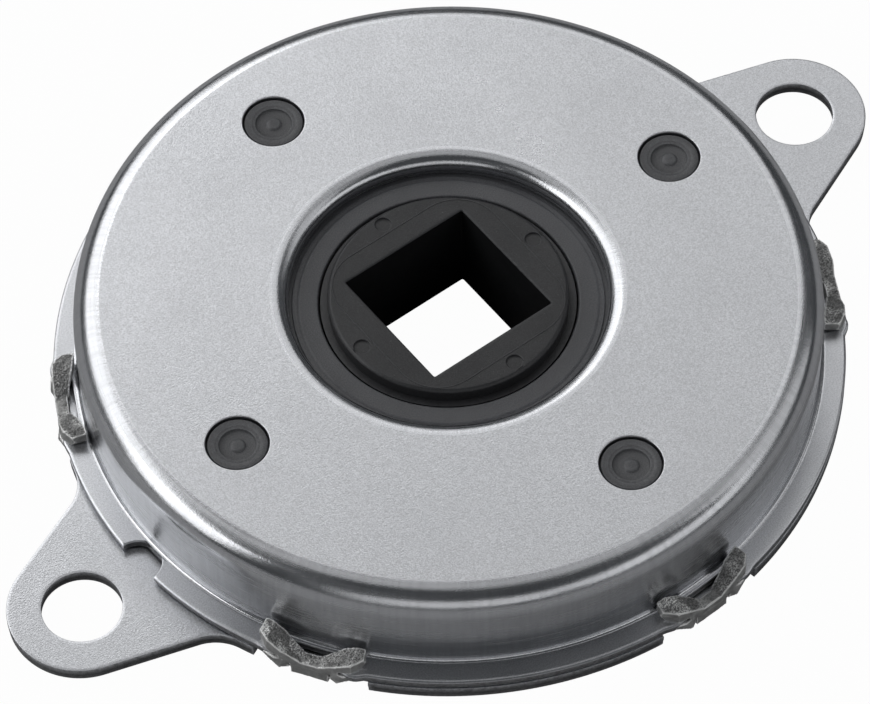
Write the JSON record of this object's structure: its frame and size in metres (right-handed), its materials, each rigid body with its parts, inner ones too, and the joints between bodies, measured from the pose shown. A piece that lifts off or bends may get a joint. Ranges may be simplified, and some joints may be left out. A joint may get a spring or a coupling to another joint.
{
  "type": "rotary damper",
  "caption": "Flat round flanged rotary damper: pressed steel housing with two screw ears, and a plastic hub with a square through bore that turns against viscous drag.",
  "frame": {"origin": "on the hub's axis, at the underside of the base plate", "axes": "+Z along the hub's axis, from the base plate towards the cover; +X through the centre of one ear's screw hole, the ear away from the cover's keying notch"},
  "size_m": [0.0952, 0.0698, 0.0111],
  "materials": {
    "zinc_steel": "bright zinc plate, satin on the flat top and glossy on the drawn wall, bare dark metal on sheared edges",
    "disc_steel": "plain punched sheet, oiled",
    "black_plastic": "fine moulded texture",
    "grey_plastic": "moulded, slightly lighter and smoother than the hub",
    "seal_rubber": "plain, oiled"
  },
  "bodies": {
    "housing": {"base_plate": "zinc_steel", "cover": "zinc_steel", "disc_carrier": "black_plastic", "top_collar": "grey_plastic", "bottom_bush": "grey_plastic", "fixed_disc_1": "disc_steel", "fixed_disc_2": "disc_steel", "fixed_disc_3": "disc_steel", "fixed_disc_4": "disc_steel", "fixed_spacer_1": "disc_steel", "fixed_spacer_2": "disc_steel", "fixed_spacer_3": "disc_steel", "stack_support_ring": "black_plastic", "top_thrust_washer": "grey_plastic", "bottom_thrust_washer": "grey_plastic", "rim_seal": "seal_rubber"},
    "rotor": {"rotor_hub": "black_plastic", "turning_disc_1": "disc_steel", "turning_disc_2": "disc_steel", "turning_disc_3": "disc_steel", "turning_spacer_1": "disc_steel", "turning_spacer_2": "disc_steel", "top_hub_seal": "seal_rubber", "bottom_hub_seal": "seal_rubber"}
  },
  "joints": [
    {"name": "rotor_spin", "type": "hinge", "parent": "housing", "child": "rotor", "pos_m": [0, 0, 0.0055], "axis": [0, 0, 1], "continuous": true}
  ]
}
